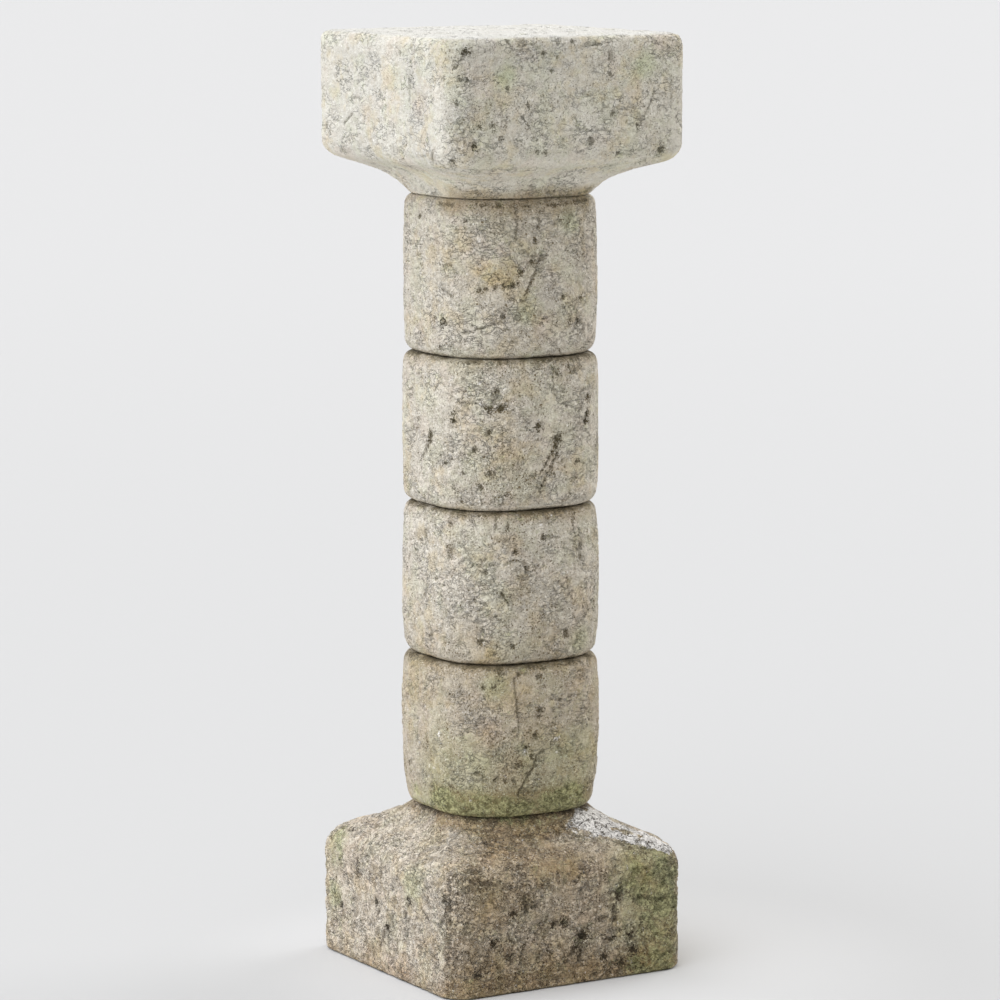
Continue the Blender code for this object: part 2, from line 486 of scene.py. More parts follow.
# Painted shade for a top that takes the most light: darker and greyer than the stone
TOP_WASH_AND_SHADE = (0.61, 0.597, 0.555, 1.0)
DARK_MOSS = (0.060, 0.078, 0.022, 1.0)
PALE_MOSS = (0.60, 0.60, 0.31, 1.0)
NO_DAMP = -1.0  # a height under the ground
NO_WASH_OR_SHADE = 9.0  # and one above the column
BACKWARD = (1.0, 1.0, 0.0)  # from the front arris through the column
BACK_MOSS = 0.5
PATCHES_A_METRE = 34.0
MOTTLES_A_METRE = 75.0
DRIFTS_A_METRE = 14.0
CLOUDS_A_METRE = 11.0
BREAKS_A_METRE = 26.0
CROWDS_A_METRE = 21.0
SPECKS_A_METRE = 290.0
FLECKS_A_METRE = 330.0
CLODS_A_METRE = 95.0
WRINKLES_A_METRE = 50.0
TEARS_A_METRE = 110.0
SCRIBBLES_A_METRE = 120.0
PRICKS_A_METRE = 140.0
NET_CELLS_A_METRE = 105.0
WIDE_NET_CELLS_A_METRE = 62.0
CRUMBS_A_METRE = 190.0


def limestone(
    name, pale, deep, dirt_and_shade, soil_and_shade, speckle, spread, coarseness, crevices, relief, damp, lee_shade, open_dirt, wash_and_shade_height
):
    """Weathered limestone: mottled, speckled, stained where its marks say, dark in its hollows from dirt and
    painted shade, with painted shade in its creases and painted highlights on its crests.

    The speckle is how dark the specks are and the spread how far they leave their crowds. Crevices
    say how dark the net between the lumps is, and relief how deep the fine grain is in metres. Damp
    is a height below which the stone is brown; the lee shade is how much painted shade browns the
    face turned away from the key light, where the specks are also denser; open dirt is the share of
    the specks on its other faces; and the wash and shade height is where the top begins that is
    painted darker and greyer, a painted shade on the face that takes the most light, with fewer
    specks where rain has washed it.
    """
    material = bpy.data.materials.new(name)
    material.use_nodes = True
    tree = material.node_tree
    shader = tree.nodes["Principled BSDF"]
    place = Flow(tree.nodes.new("ShaderNodeTexCoord").outputs["Object"])
    height = place.node("ShaderNodeSeparateXYZ", None, {0: place}, 2)

    def kept(mark):
        settings = {"attribute_type": "GEOMETRY", "attribute_name": mark}
        return place.node("ShaderNodeAttribute", settings, None, 2)

    def channel(colour, number):
        return colour.node("ShaderNodeSeparateColor", None, {0: colour}, number)

    # The specks of dirt, and the threads, nets and pricks between them, with painted shade in the creases of
    # the wrinkles and in the low parts of the grain, and painted highlights on the crests
    open_grain = 1.0 - 0.65 * kept("plain").most(kept("clean"))
    # Where the stone is painted pale: bleached, and a painted highlight of the light from behind
    bleached_and_glinting = (kept("bleach_and_glint") + 2.6 * (place.noise(48.0, 4.0, 0.7) - 0.5)).rise(0.35, 0.65)
    # Painted shade: above this height the top is painted darker and greyer, with fewer specks where rain has
    # washed it
    washed_and_shaded_top = height.rise(wash_and_shade_height, wash_and_shade_height + 0.005)
    patches = place.noise(PATCHES_A_METRE, 4.0, 0.65)
    swaying = place.wandering(45.0, 0.006)
    within = kept("within")
    crowd = place.noise(CROWDS_A_METRE, 4.0, 0.7) + 0.16 * kept("specked") - 0.10 * kept("clean")
    grains = place.noise(SPECKS_A_METRE / coarseness, 2.0, 0.65)
    clods = swaying.noise(CLODS_A_METRE / coarseness, 3.0, 0.65)
    # The low parts of the bump's clods, darkened below as painted shade in the hollows of the grain
    low = clods.fall(0.37, 0.47)
    specks = grains - 0.075 - 0.058 * (crowd - 0.5 + spread).rise(-0.04, 0.26)
    specks = specks - 0.26 * within * kept("soot") - 0.03 * low
    specks = specks.fall(0.235, 0.295)
    lie = (place.noise(17.0, 2.0, 0.6).rise(0.46, 0.60) + kept("folded")).least(1.0)
    flattened = swaying.stretched(1.0, 1.0, 2.1)
    wrinkle = flattened.noise(WRINKLES_A_METRE / coarseness, 2.0, 0.5) - 0.5
    torn = place.noise(TEARS_A_METRE, 2.0, 0.6).rise(0.43, 0.57)
    # Painted shade in the creases and painted highlights on the crests of the wrinkles, following the bump
    crease = abs(wrinkle).fall(0.0, 0.025) * (0.15 + 0.85 * lie) * torn
    crest = abs(wrinkle - 0.045).fall(0.0, 0.036) * (0.15 + 0.85 * lie)
    scribble = abs(swaying.noise(SCRIBBLES_A_METRE / coarseness, 2.0) - 0.5).fall(0.0, 0.05)
    scribble = scribble * place.noise(160.0, 1.0).rise(0.44, 0.56) * crowd.rise(0.36 - spread, 0.56)
    away = swaying.cells(PRICKS_A_METRE)
    chance = channel(swaying.cells(PRICKS_A_METRE, output=1), 0)
    pricks = ((0.66 * (chance - 0.45) - away) / 0.08).rise(0.0, 1.0) * crowd.rise(0.46, 0.58)
    net = swaying.cells(NET_CELLS_A_METRE / coarseness, "DISTANCE_TO_EDGE").fall(0.03, 0.13) * torn
    wide_net = swaying.cells(WIDE_NET_CELLS_A_METRE, "DISTANCE_TO_EDGE").fall(0.015, 0.07) * torn
    dark = (specks * (1.0 - 0.45 * lie - 0.5 * bleached_and_glinting)).most(0.58 * crease)
    dark = dark.most(0.24 * scribble).most(pricks)
    dark = dark.most(crevices * low.most(net) * (1.0 - bleached_and_glinting)).most(0.8 * wide_net * bleached_and_glinting)
    # Fewer specks on faces that look down, part of their painted light, and on the top above the wash and
    # shade height
    dark = dark * open_grain.most(bleached_and_glinting) * (1.0 - 0.8 * washed_and_shaded_top) * (1.0 - 0.4 * kept("shelter"))
    # Denser specks on the face turned away from the key light: part of its painted shade
    dark = (dark * (open_dirt + (1.25 - open_dirt) * kept("lee_shade"))).least(1.0)
    flecks_and_highlights = place.noise(FLECKS_A_METRE / coarseness, 2.0, 0.6).rise(0.54, 0.66).most(0.65 * crest)
    flecks_and_highlights = flecks_and_highlights * open_grain

    # The stone, its flecks, the painted highlights on its crests, and its tints
    tone = (place.noise(MOTTLES_A_METRE, 4.0, 0.7) * 0.6 + patches * 0.4).rise(0.37, 0.63)
    fleck_and_highlight = [shade + 0.5 * (1.0 - shade) for shade in pale]
    colour = (0.5 * flecks_and_highlights).paint(tone.paint((*deep, 1.0), (*pale, 1.0)), (*fleck_and_highlight, 1.0))
    # Faces that look down are painted paler: painted light from below
    colour = (0.5 * kept("shelter")).paint(colour, UNDERSIDE_PAINTED_LIGHT)
    drift = place.noise(DRIFTS_A_METRE, 5.0, 0.7, output=1)
    ochre = 0.4 * channel(drift, 0).rise(0.5, 0.64) + 0.7 * kept("ochre") * patches.rise(0.3, 0.6)
    rose = 0.35 * channel(drift, 1).rise(0.5, 0.62) + kept("rose")
    green = 0.25 * channel(drift, 2).rise(0.48, 0.60) + kept("green") + 0.7 * kept("moss")
    cloud = place.noise(CLOUDS_A_METRE, 3.0, 0.6).rise(0.35, 0.65)
    broken = place.noise(BREAKS_A_METRE, 2.0, 0.6).rise(0.36, 0.58)
    # The face turned away from the key light is painted browner: painted shade
    brown = height.fall(damp, damp + 0.25) * 0.5 + lee_shade * kept("lee_shade") * (0.85 + 0.2 * cloud)
    brown = brown + kept("umber_and_shade") + 0.1 * (cloud - 0.5) + kept("seam") * (0.3 + 0.5 * broken)
    brown = brown.least(1.1).most(0.0) * (1.0 - 0.5 * flecks_and_highlights)
    tints = (
        (ochre.least(0.9), OCHRE_TINT),
        (rose.least(0.9), ROSE_TINT),
        (green.least(0.9), GREEN_TINT),
        (kept("grey").least(0.9), GREY_TINT),
        (brown, BROWN_TINT),
    )
    for amount, tint in tints:
        colour = amount.paint(colour, tint, "MULTIPLY")
    colour = bleached_and_glinting.paint(colour, BLEACHED_AND_GLINT)
    colour = (0.8 * washed_and_shaded_top).paint(colour, TOP_WASH_AND_SHADE)

    # Dirt and painted shade in the grain, dirt in the marks and the joints with painted shade along the
    # foot of the base, dirt and painted shade in the hollows, then moss over it, with a little more low
    # down at the back
    # The dark mask is painted in the dirt and shade colour: specks of dirt, with painted shade in creases
    # and low grain
    colour = (speckle * dark).paint(colour, (*dirt_and_shade, 1.0))
    ragged = 0.6 * place.noise(210.0, 3.0, 0.7) + 0.4 * grains
    crumbs = place.noise(CRUMBS_A_METRE, 2.0, 0.65)
    marked = (within + 3.0 * (crumbs - 0.5)).rise(0.62, 0.80) * kept("soot")
    packed = (kept("seam") + crumbs - 0.5).rise(0.62, 0.86) * (0.35 + 0.65 * broken)
    # Hollows darkened by dirt and painted shade alike
    grime_and_hollow_shade = (0.5 * kept("hollow") * ragged.rise(0.3, 0.6)).most(1.45 * marked).most(0.8 * packed)
    colour = grime_and_hollow_shade.least(0.95).paint(colour, (*soil_and_shade, 1.0))
    ends = {0: place, 1: BACKWARD}
    round_back = place.node("ShaderNodeVectorMath", {"operation": "DOT_PRODUCT"}, ends, 1)
    unseen = round_back.rise(0.02, 0.16) * place.noise(5.0, 1.0).rise(0.44, 0.56)
    unseen = BACK_MOSS * unseen * height.fall(0.34, 0.44) * height.rise(0.04, 0.2)
    growth = (kept("moss") + unseen) * 1.2 + 3.6 * (patches - 0.5) + 2.6 * (ragged - 0.5)
    growth = (growth - 0.2).rise(0.1, 0.9) * (1.0 - bleached_and_glinting)
    moss = place.noise(80.0, 5.0, 0.8).rise(0.40, 0.60).paint(DARK_MOSS, PALE_MOSS)
    colour = (0.66 * growth * (1.0 - 0.6 * dark)).paint(colour, moss)

    grit = 0.5 * place.noise(280.0, 3.0, 0.7) + 1.15 * clods + 0.9 * crest - 0.8 * dark - 0.6 * marked
    bump = place.node("ShaderNodeBump", None, {"Strength": 1.0, "Distance": relief, "Height": grit})
    roughness = 0.86 + 0.1 * patches
    tree.links.new(colour.socket, shader.inputs["Base Color"])
    tree.links.new(bump.socket, shader.inputs["Normal"])
    tree.links.new(roughness.socket, shader.inputs["Roughness"])
    shader.inputs["Specular IOR Level"].default_value = 0.3
    return material


# Cuts: pixels wide, millimetres deep, how dark, then the points each runs through, as seen in the
# photograph. Stains: pixels wide, how strong, then their points. A clean place has fewer specks, a
# specked one more, and a folded one more creases.
BASE_CUTS = (
    (11, 4, 0.75, (408, 901)),
    (9, 3, 0.6, (375, 902)),
    (9, 3, 0.6, (340, 905)),
    (7, 4, 0.6, (404, 914), (404, 920)),
    (11, 4, 0.75, (386, 928)),
    (6, 3, 0.6, (386, 928), (379, 948)),
    (9, 3, 0.6, (443, 901)),
    (4, 3, 0.6, (420, 908), (428, 920)),
    (6, 3, 0.45, (450, 901), (446, 914), (439, 928)),
    (7, 2, 0.75, (357, 862), (357, 874)),
    (8, 2, 0.6, (352, 829)),
    (6, 3, 0.3, (424, 890), (431, 886), (440, 884)),
    (3, 2, 0.45, (426, 846), (458, 838), (495, 835)),
    (3, 2, 0.45, (430, 853), (462, 846), (490, 844)),
    (3, 2, 0.45, (421, 840), (444, 835), (470, 829)),
    (3, 2, 0.45, (436, 860), (470, 853), (494, 852)),
    (7, 3, 0.5, (478, 884), (494, 886)),
    (9, 3, 0.6, (526, 898), (526, 912)),
    (9, 3, 0.75, (514, 915)),
    (10, 3, 0.6, (510, 958)),
    (10, 4, 0.75, (494, 944)),
    (9, 3, 0.6, (477, 977)),
    (13, 6, 1, (583, 937)),
    (7, 3, 0.75, (583, 937), (574, 950), (566, 961)),
    (6, 3, 0.6, (583, 940), (579, 960)),
    (10, 4, 0.75, (564, 924)),
    (9, 4, 0.75, (555, 924)),
    (9, 5, 0.9, (620, 891), (620, 897)),
    (8, 4, 0.75, (615, 908), (615, 919)),
    (10, 4, 0.75, (634, 950)),
    (9, 4, 0.75, (621, 963)),
    (8, 3, 0.6, (613, 938)),
    (8, 3, 0.6, (631, 936)),
    (9, 3, 0.6, (605, 957)),
    (6, 3, 0.6, (640, 896), (652, 899), (663, 899)),
)
BASE_STAINS = {
    "ochre": (
        (26, 0.9, (640, 876)),
        (26, 0.8, (485, 915)),
        (22, 0.6, (560, 948)),
        (24, 0.5, (372, 956)),
        (30, 0.5, (500, 880)),
    ),
    "rose": (
        (26, 0.7, (648, 957)),
        (30, 0.6, (372, 956), (400, 968)),
        (30, 0.4, (340, 920)),
    ),
    "green": (
        (30, 0.6, (412, 883)),
        (60, 0.7, (640, 876), (655, 930)),
        (24, 0.5, (334, 894)),
    ),
    "grey": ((26, 0.4, (555, 861)),),
    # A pale patch on the right slope: bleached stone, and a painted highlight where the light from behind
    # grazes it
    "bleach_and_glint": (
        (14, 1.0, (583, 813), (606, 820), (634, 830), (668, 846)),
        (22, 1.0, (598, 812), (620, 817), (640, 824), (658, 833), (670, 843)),
        (13, 0.9, (582, 821), (604, 829), (634, 839), (662, 846)),
        (16, 0.45, (574, 824), (592, 834)),
    ),
    "umber_and_shade": (
        (40, 0.5, (470, 850), (520, 852), (560, 862)),
        (26, 1.0, (446, 816), (480, 823), (510, 825), (545, 822), (568, 815)),
        (26, 0.25, (478, 884), (530, 900)),
        # The bands along the bottom of the base are painted shade under its bottom arris and where it meets
        # the floor
        (30, 0.4, (500, 960), (560, 975), (640, 966)),
        (34, 0.3, (425, 955), (445, 985), (480, 985)),
        (15, 1.0, (456, 991), (540, 982), (600, 974), (672, 962)),
        (10, 0.4, (330, 948), (390, 971), (446, 992)),
        (40, 0.3, (662, 918), (655, 948)),
    ),
    "clean": (
        (40, 0.6, (338, 848), (342, 880)),
        (36, 0.6, (400, 856), (404, 896)),
        (30, 0.6, (376, 905), (380, 940)),
        (26, 0.5, (642, 872), (646, 890)),
        (22, 0.5, (606, 862), (620, 864)),
    ),
    "specked": (
        (40, 0.7, (428, 920), (440, 962), (455, 980)),
        (30, 0.5, (505, 866), (546, 868)),
        (34, 0.5, (520, 945), (530, 975)),
    ),
    "folded": ((36, 1.0, (436, 850), (480, 842), (500, 840)), (30, 0.8, (400, 860), (430, 890))),
    "moss": (
        (26, 0.5, (668, 858), (671, 900)),
        (44, 0.4, (650, 866), (658, 894)),
        (16, 0.5, (634, 868), (630, 884)),
        (14, 0.5, (640, 896), (652, 900), (664, 902)),
        (30, 0.35, (668, 915), (664, 938)),
        (20, 0.3, (646, 920), (650, 936)),
        (12, 0.4, (470, 817), (510, 821), (550, 818)),
        (24, 0.8, (635, 966), (666, 966)),
        (24, 0.5, (337, 838), (336, 856)),
        (20, 0.45, (334, 894)),
    ),
}

base_stone = limestone(
    "limestone of the base",
    pale=(0.835, 0.75, 0.615),
    deep=(0.60, 0.51, 0.385),
    dirt_and_shade=(0.080, 0.053, 0.026),
    soil_and_shade=(0.058, 0.044, 0.024),
    speckle=0.95,
    spread=0.08,
    coarseness=1.3,
    crevices=0.45,
    relief=0.010,
    damp=NO_DAMP,
    lee_shade=0.5,
    open_dirt=0.85,
    wash_and_shade_height=NO_WASH_OR_SHADE,
)
base_block = rough_out("base_block", "base_stone", BASE_GRAIN)
note_marks(base_block, BASE_CUTS, BASE_STAINS)
base_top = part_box("base_block")[1].z
weather(
    base_block,
    beds=("under", "over"),
    # The joint at the ground paints a dark band along the base's foot: painted shade under its bottom arris
    joints=((0.0, 1.0, SEAM_REACH), (base_top, 1.0, LEDGE_REACH)),
    outmost=CUT_BACK,
    plainness=0.8,
    sink=0.0025,
    lumps=0.004,
    dents=0.0075,
    folds=0.0060,
    grain=0.0034,
    pits=0.0050,
    worms=0.0040,
)
thin_out(base_block, BASE_MOST_TRIANGLES)
base_block.data.materials.clear()
base_block.data.materials.append(base_stone)
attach(base_block, "root")
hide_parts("base_block")


# The shaft: four drums, each a block with its upright corners cut round, set one on another with no
# mortar. Their worn bed arrises make the dark joints. Damp has greened the foot of the lowest one.

DRUM_GRAIN = 0.0023
DRUM_MOST_TRIANGLES = 148000
DRUM_STANDS_OUT = 0.0018  # metres that the skin of a drum may stand out
CLEAN_NECK = 0.25  # how dirty the joint below the capital is beside the others

# A cut of less than nought stands up, as the small ridges round the pits do
DRUM_CUTS = {
    "shaft_drum_1": (
        (3, 3, 0.4, (514, 678), (517, 703), (519, 732)),
        (7, 4, 0.6, (540, 710)),
        (6, 3, 0.5, (539, 716)),
        (6, 4, 0.5, (535, 735)),
        (6, 4, 0.5, (527, 747)),
        (6, 4, 0.5, (532, 756)),
        (8, 2, 0.5, (520, 765)),
        (6, 3, 0.5, (483, 688)),
        (6, 3, 0.5, (494, 688)),
        (6, 3, 0.5, (518, 675)),
        (6, 3, 0.5, (539, 676)),
        (6, 3, 0.5, (543, 669)),
        (7, 4, 0.5, (476, 774)),
        (8, 3, 0.5, (501, 673)),
        (6, 3, 0.5, (409, 763)),
        (4, 3, 0.62, (543, 750), (537, 756), (535, 766), (527, 778), (521, 789), (519, 795)),
        (5, 3, 0.5, (496, 780)),
        (5, 3, 0.5, (505, 781)),
        (5, 3, 0.5, (514, 780)),
        (3, 2, 0.5, (446, 782), (454, 789)),
    ),
    "shaft_drum_2": (
        (9, 3, 0.5, (450, 548), (450, 556)),
        (9, 3, 0.5, (580, 546), (580, 558)),
        (5, 2, 0.5, (426, 530), (426, 541)),
        (4, 2, 0.5, (450, 514), (450, 526)),
        (4, 2, 0.5, (508, 518), (508, 530)),
        (4, 2, 0.5, (496, 519), (496, 529)),
        (4, 2, 0.5, (573, 512), (573, 525)),
        (7, 4, 0.6, (544, 537)),
        (3, 2, 0.5, (544, 537), (559, 537)),
        (7, 4, 0.6, (516, 552)),
        (7, 4, 0.6, (527, 568)),
        (6, 3, 0.5, (486, 572)),
        (7, 4, 0.5, (481, 642)),
        (6, 3, 0.5, (513, 647)),
        (8, 5, 0.7, (566, 631), (566, 635)),
        (5, 3, 0.5, (431, 627), (433, 633), (430, 638)),
        (3, 2, 0.5, (505, 565), (515, 560), (526, 563), (529, 571)),
        (5, -2, 0.0, (503, 562), (514, 556), (527, 559), (532, 569)),
        (4, -2, 0.0, (510, 571), (517, 566), (524, 570)),
        (5, -2, 0.0, (559, 629), (562, 624), (570, 624), (573, 631)),
        (5, -2, 0.0, (437, 625), (427, 629), (426, 638)),
        (4, -2, 0.0, (495, 594), (503, 591), (511, 597), (510, 608)),
        (4, -2, 0.0, (499, 604), (503, 600), (507, 606)),
        (4, -2, 0.0, (466, 612), (478, 606), (492, 608)),
        (5, -2, 0.0, (472, 632), (486, 623), (497, 611), (508, 620)),
        (4, -2, 0.0, (553, 600), (563, 596), (573, 601)),
        (4, -2, 0.0, (462, 536), (474, 532), (488, 536)),
        (4, -2, 0.0, (478, 556), (486, 551), (497, 556)),
        (3, 2, 0.4, (477, 565), (496, 565)),
        (3, 3, 0.6, (501, 592), (509, 605)),
        (3, 2, 0.4, (477, 628), (495, 616), (506, 625)),
        (3, 2, 0.3, (468, 588), (480, 594), (474, 600), (488, 606)),
    ),
    "shaft_drum_3": (
        (3, 2, 0.5, (458, 402), (470, 404)),
        (8, 4, 0.8, (454, 421)),
        (7, 3, 0.6, (454, 413)),
        (9, 4, 0.85, (430, 435)),
        (7, 3, 0.8, (430, 441)),
        (4, 3, 0.6, (428, 446)),
        (4, 3, 0.6, (426, 451)),
        (4, 3, 0.5, (423, 456)),
        (3, 2, 0.5, (429, 442), (421, 459)),
        (6, 3, 0.5, (418, 419)),
        (9, 4, 0.9, (489, 409)),
        (9, 4, 0.85, (501, 409)),
        (8, 3, 0.6, (497, 392)),
        (8, 2, 0.4, (492, 402), (500, 396)),
        (9, 4, 0.85, (539, 426)),
        (11, 6, 0.9, (558, 439)),
        (8, 4, 0.8, (556, 446)),
        (4, 3, 0.7, (552, 452)),
        (5, 3, 0.7, (549, 458)),
        (4, 3, 0.6, (546, 464)),
        (4, 3, 0.5, (543, 470)),
        (5, 3, 0.7, (557, 454)),
        (4, 3, 0.7, (554, 460)),
        (4, 3, 0.6, (551, 467)),
        (4, 3, 0.6, (548, 473)),
        (4, 3, 0.5, (545, 479)),
        (4, 3, 0.5, (542, 486)),
        (4, 3, 0.5, (540, 492)),
        (3, 2, 0.5, (556, 448), (546, 464), (540, 474)),
        (3, 2, 0.5, (559, 450), (552, 466), (540, 490)),
        (9, 4, 0.8, (588, 398)),
        (8, 4, 0.8, (587, 414)),
        (8, 4, 0.8, (586, 421)),
        (7, 4, 0.5, (577, 462)),
        (6, 3, 0.5, (552, 474)),
        (7, 4, 0.5, (476, 450)),
        (6, 3, 0.5, (446, 464)),
        (5, 3, 0.5, (464, 474)),
        (6, 3, 0.5, (490, 473)),
        (6, 3, 0.5, (481, 487)),
        (6, 3, 0.5, (454, 488)),
        (6, 3, 0.5, (507, 495)),
        (6, 3, 0.5, (462, 502)),
        (7, 3, 0.5, (490, 432)),
        (5, 3, 0.6, (552, 367), (554, 372), (558, 374)),
        (5, 3, 0.6, (568, 366), (571, 371), (576, 372)),
        (4, -2, 0.0, (550, 376), (560, 379), (572, 377)),
        (4, -2, 0.0, (456, 398), (466, 396), (474, 401)),
        (4, -2, 0.0, (462, 415), (474, 410), (486, 414)),
        (4, -2, 0.0, (458, 430), (470, 426), (480, 431)),
    ),
    "shaft_drum_4": (
        (4, 1, 0.6, (438, 204), (452, 205)),
        (4, 1, 0.7, (476, 205), (500, 206)),
        (3, 1, 0.6, (510, 206), (530, 206)),
        (4, 1, 0.7, (548, 205), (566, 204)),
        (5, 1, 0.8, (574, 202), (586, 200)),
        (6, 3, 0.5, (420, 216)),
        (6, 3, 0.5, (466, 221)),
        (6, 4, 0.5, (535, 241)),
        (6, 4, 0.5, (532, 262)),
        (8, 4, 0.7, (521, 272)),
        (9, 5, 0.7, (444, 322)),
        (8, 5, 0.7, (578, 320)),
        (5, 3, 0.5, (570, 321)),
        (6, 4, 0.5, (580, 298)),
        (6, 3, 0.5, (564, 297)),
        (6, 3, 0.5, (503, 317)),
        (6, 3, 0.5, (441, 348)),
        (4, 2, 0.6, (515, 206), (517, 222), (516, 238)),
        (4, 2, 0.5, (539, 212), (538, 228)),
        (8, 2, 0.4, (571, 216), (566, 226)),
        (4, 3, 0.6, (546, 256), (539, 260), (536, 271), (532, 281), (525, 295)),
        (5, 3, 0.5, (479, 290)),
        (5, 3, 0.5, (486, 289)),
        (5, 3, 0.5, (495, 288)),
        (6, 3, 0.6, (504, 286)),
        (6, 3, 0.6, (513, 286)),
        (5, 3, 0.6, (518, 284)),
        (3, 2, 0.5, (442, 289), (454, 297)),
        (3, 3, 0.4, (464, 333), (480, 329), (492, 325), (505, 321)),
        (3, 2, 0.4, (557, 348), (562, 355)),
        (3, 2, 0.3, (470, 228), (482, 231), (496, 233)),
        (3, 2, 0.3, (478, 249), (486, 247), (494, 248)),
        (3, 2, 0.3, (459, 318), (468, 316), (476, 320)),
    ),
}
DRUM_STAINS = {
    "shaft_drum_1": {
        "ochre": ((34, 0.8, (514, 695)), (30, 0.4, (540, 730))),
        "clean": (
            (22, 0.6, (408, 666), (412, 704)),
            (20, 0.7, (590, 700), (590, 756)),
            (20, 0.5, (525, 690)),
        ),
        "specked": ((40, 0.6, (510, 756), (540, 790)),),
        "rose": ((24, 0.7, (491, 733)), (24, 0.7, (511, 769))),
        "green": ((22, 0.7, (495, 686)), (60, 0.5, (440, 770), (520, 776), (580, 765))),
        "grey": ((12, 0.7, (466, 712), (478, 722)),),
        "umber_and_shade": ((26, 0.8, (440, 798), (500, 806), (545, 803), (585, 796)),),
        "moss": (
            (26, 0.55, (418, 797), (450, 806), (490, 811), (530, 811), (580, 800)),
            (28, 0.7, (560, 798), (568, 796)),
            (20, 0.6, (505, 811), (520, 811)),
            (26, 0.45, (443, 798), (477, 804)),
        ),
    },
    "shaft_drum_2": {
        "ochre": ((26, 0.7, (488, 656)), (24, 0.5, (466, 631)), (24, 0.5, (539, 637))),
        "clean": ((24, 0.6, (470, 560), (480, 562)), (24, 0.6, (466, 625)), (16, 0.5, (592, 590))),
        "specked": (
            (30, 0.6, (500, 516), (575, 514)),
            (26, 0.5, (474, 534)),
            (26, 0.5, (524, 612), (526, 632)),
            (28, 0.6, (450, 652), (480, 655)),
        ),
        "umber_and_shade": ((18, 0.45, (480, 511), (520, 513), (560, 512), (588, 509)),),
        "grey": ((22, 0.7, (522, 597)), (20, 0.5, (470, 618))),
        "green": ((24, 0.6, (580, 639)),),
        "folded": ((34, 0.5, (470, 590), (490, 610)), (30, 0.4, (450, 575))),
    },
    "shaft_drum_3": {
        "ochre": ((26, 0.5, (500, 429)), (18, 0.2, (511, 459))),
        "clean": (
            (30, 0.8, (455, 396), (468, 434)),
            (30, 0.8, (582, 450), (590, 482)),
            (22, 0.7, (548, 490)),
        ),
        "specked": (
            (34, 0.5, (505, 366), (565, 364)),
            (26, 0.5, (526, 398)),
            (36, 0.6, (506, 470), (524, 478)),
        ),
        "folded": ((36, 0.7, (468, 395), (475, 430)), (26, 0.4, (500, 440))),
        "rose": ((26, 0.35, (511, 459)),),
        "umber_and_shade": ((34, 0.2, (511, 470)),),
    },
    "shaft_drum_4": {
        "ochre": ((26, 0.9, (480, 277), (500, 277)), (24, 0.5, (450, 253))),
        "clean": (
            (36, 0.9, (452, 226), (470, 258)),
            (30, 0.8, (452, 322), (480, 334)),
            (20, 0.6, (592, 236), (592, 262)),
            (20, 0.6, (590, 318), (588, 336)),
            (26, 0.6, (500, 262), (510, 250)),
        ),
        "specked": ((30, 0.4, (520, 342), (548, 340)), (26, 0.4, (546, 290))),
        "green": ((22, 0.6, (527, 311)), (20, 0.6, (569, 221))),
        "umber_and_shade": ((16, 0.6, (446, 204), (460, 206), (510, 207), (560, 205), (586, 201)),),
        "folded": (
            (34, 1.0, (462, 236), (500, 240)),
            (26, 1.0, (462, 322), (490, 325)),
            (26, 0.8, (545, 226)),
        ),
        "rose": ((24, 0.6, (547, 326)),),
        "grey": ((22, 0.5, (550, 296)),),
    },
}

drum_stone = limestone(
    "limestone of the shaft",
    pale=(0.77, 0.715, 0.607),
    deep=(0.585, 0.53, 0.432),
    dirt_and_shade=(0.20, 0.15, 0.075),
    soil_and_shade=(0.12, 0.10, 0.055),
    speckle=0.95,
    spread=0.03,
    coarseness=1.0,
    crevices=0.2,
    relief=0.006,
    damp=0.60,
    lee_shade=0.0,
    open_dirt=0.85,
    wash_and_shade_height=NO_WASH_OR_SHADE,
)
for drum in ("shaft_drum_1", "shaft_drum_2", "shaft_drum_3", "shaft_drum_4"):
    stone = rough_out(drum, drum.replace("shaft", "stone"), DRUM_GRAIN)
    note_marks(stone, DRUM_CUTS[drum], DRUM_STAINS[drum])
    foot, head = (corner.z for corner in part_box(drum))
    head_dirt = CLEAN_NECK if drum == "shaft_drum_4" else 1.0
    weather(
        stone,
        beds=("under", "over"),
        joints=((foot, 1.0, SEAM_REACH), (head, head_dirt, LEDGE_REACH)),
        outmost=DRUM_STANDS_OUT,
        plainness=1.0,
        sink=0.0,
        lumps=0.003,
        dents=0.0022,
        folds=0.0055,
        grain=0.0024,
        pits=0.0036,
        worms=0.0024,
    )
    thin_out(stone, DRUM_MOST_TRIANGLES)
    stone.data.materials.clear()
    stone.data.materials.append(drum_stone)
    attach(stone, "root")
    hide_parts(drum)


# The capital: one square block, flat on top, cut in below through a slope and a cove to the width
# of the shaft. It lies loose on the top drum, and rain has kept it the palest of the stones. Its
# flat top is painted a little darker and greyer, with fewer specks: painted shade on the face that
# takes the most light, and the wash of the rain.

CAPITAL_GRAIN = 0.0029
CAPITAL_MOST_TRIANGLES = 192000

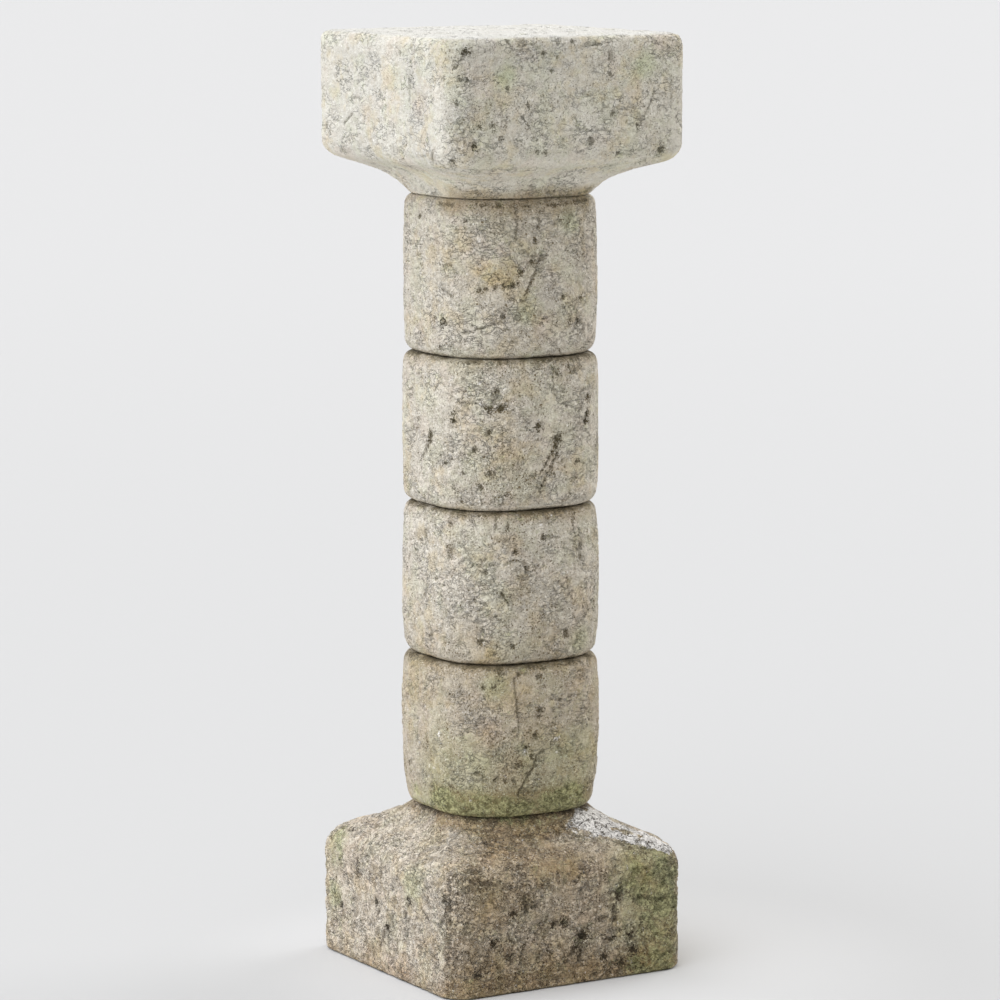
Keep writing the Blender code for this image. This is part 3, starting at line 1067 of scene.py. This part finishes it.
CAPITAL_CUTS = (
    (4, 1, 0.4, (432, 194), (441, 195)),
    (3, 1, 0.4, (462, 197), (476, 198)),
    (5, 1, 0.6, (486, 198), (512, 199)),
    (3, 1, 0.4, (520, 199), (536, 198)),
    (4, 1, 0.5, (550, 197), (571, 195)),
    (5, 1, 0.6, (579, 194), (587, 192)),
    (9, 5, 0.8, (466, 53)),
    (5, 3, 0.5, (466, 54), (461, 60)),
    (6, 3, 0.5, (455, 67)),
    (6, 3, 0.5, (459, 79)),
    (6, 3, 0.5, (468, 81)),
    (6, 3, 0.5, (457, 104)),
    (6, 3, 0.5, (480, 127)),
    (6, 3, 0.5, (493, 127)),
    (8, 4, 0.7, (475, 147)),
    (5, 3, 0.5, (432, 153), (432, 161)),
    (6, 3, 0.5, (453, 162)),
    (5, 2, 0.3, (409, 79), (409, 100)),
    (8, 3, 0.3, (399, 53)),
    (3, 2, 0.4, (350, 101), (355, 97), (360, 99)),
    (3, 3, 0.5, (352, 114), (343, 124)),
    (5, 3, 0.4, (329, 134)),
    (8, 5, 0.8, (661, 149), (660, 153)),
    (7, 5, 0.7, (592, 139), (592, 143)),
    (9, 3, 0.5, (611, 52), (612, 60)),
    (8, 3, 0.4, (611, 74)),
    (6, 3, 0.5, (552, 71)),
    (6, 3, 0.5, (544, 54)),
    (3, 2, 0.4, (508, 67), (516, 67)),
    (6, 3, 0.5, (508, 89)),
    (6, 3, 0.5, (529, 106)),
    (3, 2.5, 0.6, (523, 117), (530, 128)),
    (6, 3, 0.5, (502, 139)),
    (6, 3, 0.5, (546, 153)),
    (6, 3, 0.5, (538, 152)),
    (6, 3, 0.5, (618, 153)),
    (6, 3, 0.5, (613, 113)),
    (4, 2, 0.4, (656, 88), (650, 106), (642, 123)),
    (7, 4, 0.5, (638, 125)),
    (5, 1.5, 0.3, (672, 75), (672, 105)),
    (6, 3, 0.4, (508, 42)),
    (6, 3, 0.4, (573, 42)),
    (3, 2, 0.3, (518, 47), (529, 44), (540, 47)),
    (3, 2, 0.3, (590, 46), (600, 44)),
    (3, 1.5, 0.2, (554, 131), (582, 130), (612, 131)),
)
CAPITAL_STAINS = {
    "ochre": ((24, 0.3, (438, 50)), (22, 0.7, (503, 98)), (12, 0.7, (636, 75), (636, 100))),
    "rose": ((24, 0.6, (419, 105)), (22, 0.7, (663, 41))),
    "green": ((20, 0.6, (506, 78)), (20, 0.6, (645, 66))),
    "grey": (
        (28, 0.6, (461, 120)),
        (46, 0.5, (412, 80), (420, 150)),
        (46, 0.5, (440, 46), (560, 46)),
        (90, 0.4, (356, 60), (356, 140)),
    ),
    "clean": (
        (50, 0.7, (345, 70), (350, 120)),
        (26, 0.6, (500, 64)),
        (26, 0.6, (560, 150), (590, 150)),
        (20, 0.5, (480, 100)),
    ),
    "specked": (
        (36, 0.9, (480, 118), (530, 108)),
        (30, 0.7, (548, 120)),
        (26, 0.5, (590, 100)),
        (24, 0.4, (455, 150)),
    ),
    "umber_and_shade": ((16, 0.8, (455, 194), (480, 196), (540, 196), (588, 191)),),
}

capital_stone = limestone(
    "limestone of the capital",
    pale=(0.72, 0.69, 0.60),
    deep=(0.59, 0.553, 0.465),
    dirt_and_shade=(0.17, 0.135, 0.075),
    soil_and_shade=(0.095, 0.085, 0.050),
    speckle=0.68,
    spread=-0.09,
    coarseness=1.0,
    crevices=0.15,
    relief=0.0038,
    damp=NO_DAMP,
    lee_shade=0.05,
    open_dirt=0.32,
    wash_and_shade_height=1.994,
)
capital = rough_out("capital_block", "capital_stone", CAPITAL_GRAIN)
note_marks(capital, CAPITAL_CUTS, CAPITAL_STAINS)
capital_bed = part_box("capital_block")[0].z
weather(
    capital,
    beds=("under",),
    joints=((capital_bed, 0.15, SEAM_REACH),),
    outmost=CUT_BACK,
    plainness=1.0,
    sink=0.0014,
    lumps=0.005,
    dents=0.0024,
    folds=0.0042,
    grain=0.0020,
    pits=0.0030,
    worms=0.0022,
)
thin_out(capital, CAPITAL_MOST_TRIANGLES)
capital.data.materials.clear()
capital.data.materials.append(capital_stone)
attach(capital, "root")
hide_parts("capital_block")
